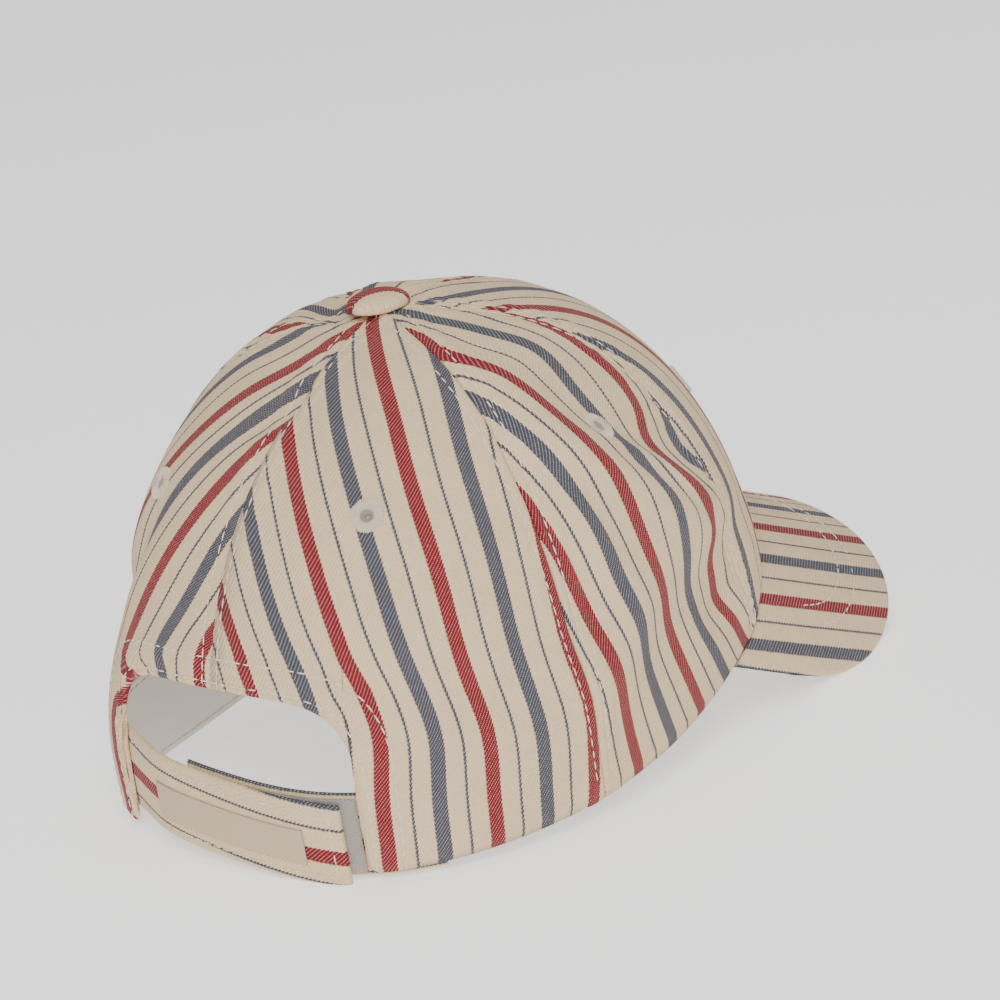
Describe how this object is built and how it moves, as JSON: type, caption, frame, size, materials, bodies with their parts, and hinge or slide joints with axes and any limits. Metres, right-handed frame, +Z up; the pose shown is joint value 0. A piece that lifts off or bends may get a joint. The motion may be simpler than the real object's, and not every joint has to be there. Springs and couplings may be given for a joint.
{
  "type": "cap",
  "caption": "Child's soft cap with a striped paneled crown, curved peak, covered button, eyelets and a rear strap closure under an arch",
  "frame": {"origin": "middle of the bounding box in plan, on the surface that the cap rests on", "axes": "+Z up, -Y towards the peak, +Y towards the closure, -X towards the wearer's right"},
  "size_m": [0.148, 0.2402, 0.1325],
  "materials": {
    "striped_cloth": "matte cotton twill, ecru with woven red and slate blue stripes",
    "eyelet_thread": "matte ecru stitching thread",
    "sweatband_cloth": "matte pale cotton",
    "loop_tape": "matte grey looped tape",
    "label_cloth": "matte plain ecru cotton tape"
  },
  "bodies": {
    "root": {"panel_rear_right": "striped_cloth", "panel_rear_left": "striped_cloth", "panel_middle_right": "striped_cloth", "panel_middle_left": "striped_cloth", "panel_front_right": "striped_cloth", "panel_front_left": "striped_cloth", "button": "striped_cloth", "peak": "striped_cloth", "tab_strap": "striped_cloth", "under_strap": "striped_cloth", "eyelet_rear_right": "eyelet_thread", "eyelet_rear_left": "eyelet_thread", "eyelet_middle_right": "eyelet_thread", "eyelet_middle_left": "eyelet_thread", "eyelet_front_right": "eyelet_thread", "eyelet_front_left": "eyelet_thread", "sweatband": "sweatband_cloth", "loop_tape": "loop_tape", "label": "label_cloth"}
  },
  "joints": []
}
